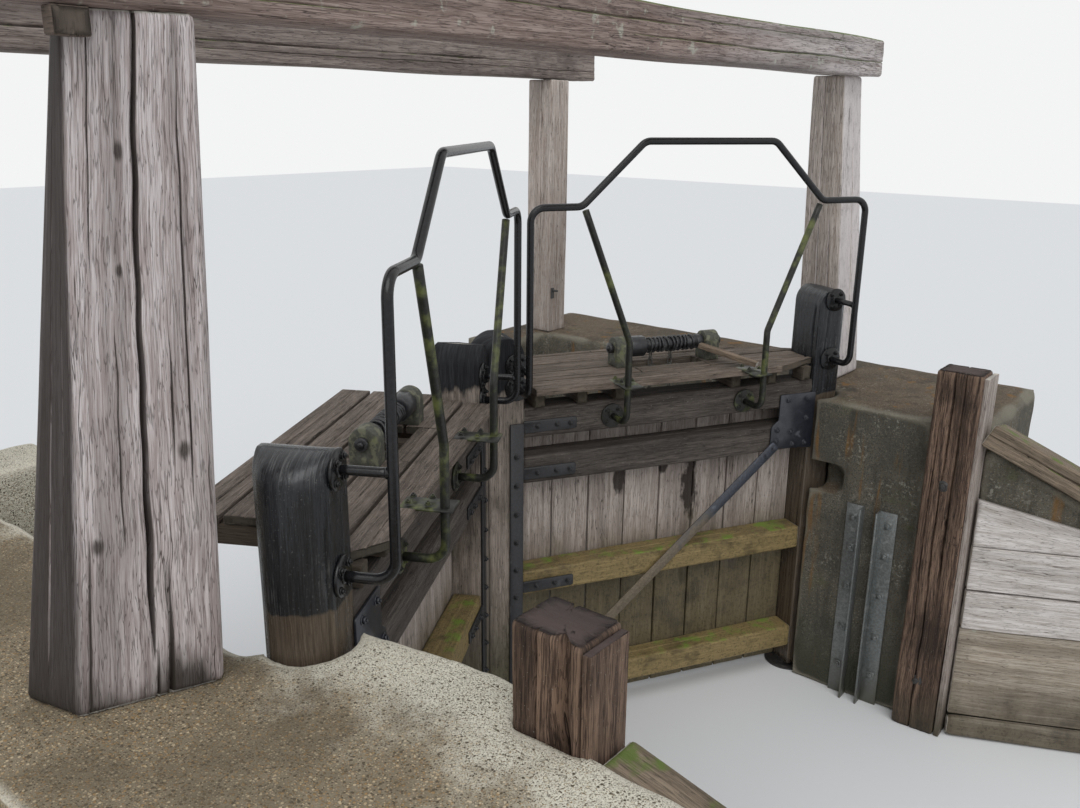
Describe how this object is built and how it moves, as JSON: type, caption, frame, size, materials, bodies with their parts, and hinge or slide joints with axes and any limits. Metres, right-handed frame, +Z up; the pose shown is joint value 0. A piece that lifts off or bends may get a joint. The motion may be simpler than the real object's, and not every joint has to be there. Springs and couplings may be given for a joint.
{
  "type": "pair of timber mitre lock gates",
  "caption": "Pair of timber mitre gates closed in a V between two lock walls, with walkways, tube rails and windlasses, under two oak portal frames.",
  "frame": {"origin": "middle of the channel, at the tail water line, half way along the part", "axes": "+X from the near bank to the far bank, +Y upstream, +Z up"},
  "size_m": [5.4, 4.3478, 3.644],
  "materials": {
    "abutment": "weathered concrete",
    "coping": "weathered gravelly concrete",
    "near_post": "silvery weathered oak",
    "far_post": "silvery weathered oak",
    "beam": "weathered oak with moss",
    "fender_oak": "dark wet oak",
    "dark_oak": "dark oak",
    "wing_boards": "pale weathered boards",
    "wing_caps": "brown oak",
    "galvanised": "galvanised",
    "black_iron": "black paint, worn",
    "post_oak": "oak with black painted top",
    "rails": "wet oak with algae",
    "boards": "silvery boards",
    "deck": "weathered planks",
    "rail_paint": "black gloss",
    "stay_paint": "black gloss with green algae",
    "blocks": "oak with algae",
    "chain": "worn iron",
    "handspike": "worn ash"
  },
  "bodies": {
    "lock_walls": {"near_abutment": "abutment", "far_abutment": "abutment", "near_coping": "coping", "far_coping": "coping", "near_downstream_post": "near_post", "far_downstream_post": "far_post", "upstream_posts": "far_post", "downstream_beam": "beam", "upstream_beam": "beam", "beam_cleats": "dark_oak", "post_latches": "black_iron", "fender_posts": "fender_oak", "wing_boards": "wing_boards", "wing_caps": "wing_caps", "plank_angles": "galvanised", "pintle_cups": "black_iron"},
    "near_leaf": {"near_heel_post": "post_oak", "near_mitre_post": "post_oak", "near_rails": "rails", "near_boards": "boards", "near_mitre_strap": "black_iron", "near_heel_plate": "black_iron", "near_diagonal": "black_iron", "near_deck": "deck", "near_bearers": "dark_oak", "near_handrail": "rail_paint", "near_stays": "stay_paint", "near_blocks": "blocks", "near_chain": "chain", "near_paddle": "dark_oak"},
    "far_leaf": {"far_heel_post": "post_oak", "far_mitre_post": "post_oak", "far_rails": "rails", "far_boards": "boards", "far_mitre_strap": "black_iron", "far_heel_plate": "black_iron", "far_diagonal": "black_iron", "far_deck": "deck", "far_bearers": "dark_oak", "far_handrail": "rail_paint", "far_stays": "stay_paint", "far_blocks": "blocks", "far_chain": "chain", "far_paddle": "dark_oak"},
    "near_windlass": {"near_barrel": "black_iron"},
    "far_windlass": {"far_barrel": "black_iron", "far_handspike": "handspike"}
  },
  "joints": [
    {"name": "near_leaf_hinge", "type": "hinge", "parent": "lock_walls", "child": "near_leaf", "pos_m": [-1.791, -0.28258, 0], "axis": [0, 0, 1], "range_deg": [0, 60]},
    {"name": "far_leaf_hinge", "type": "hinge", "parent": "lock_walls", "child": "far_leaf", "pos_m": [1.791, -0.28258, 0], "axis": [0, 0, -1], "range_deg": [0, 60]},
    {"name": "near_windlass_turn", "type": "hinge", "parent": "near_leaf", "child": "near_windlass", "pos_m": [-1.06385, 0.2603, 2.05], "axis": [-0.8712, -0.4909, 0], "range_deg": [0, 300]},
    {"name": "far_windlass_turn", "type": "hinge", "parent": "far_leaf", "child": "far_windlass", "pos_m": [1.06385, 0.2603, 2.05], "axis": [-0.8712, 0.4909, 0], "range_deg": [0, 110]}
  ]
}
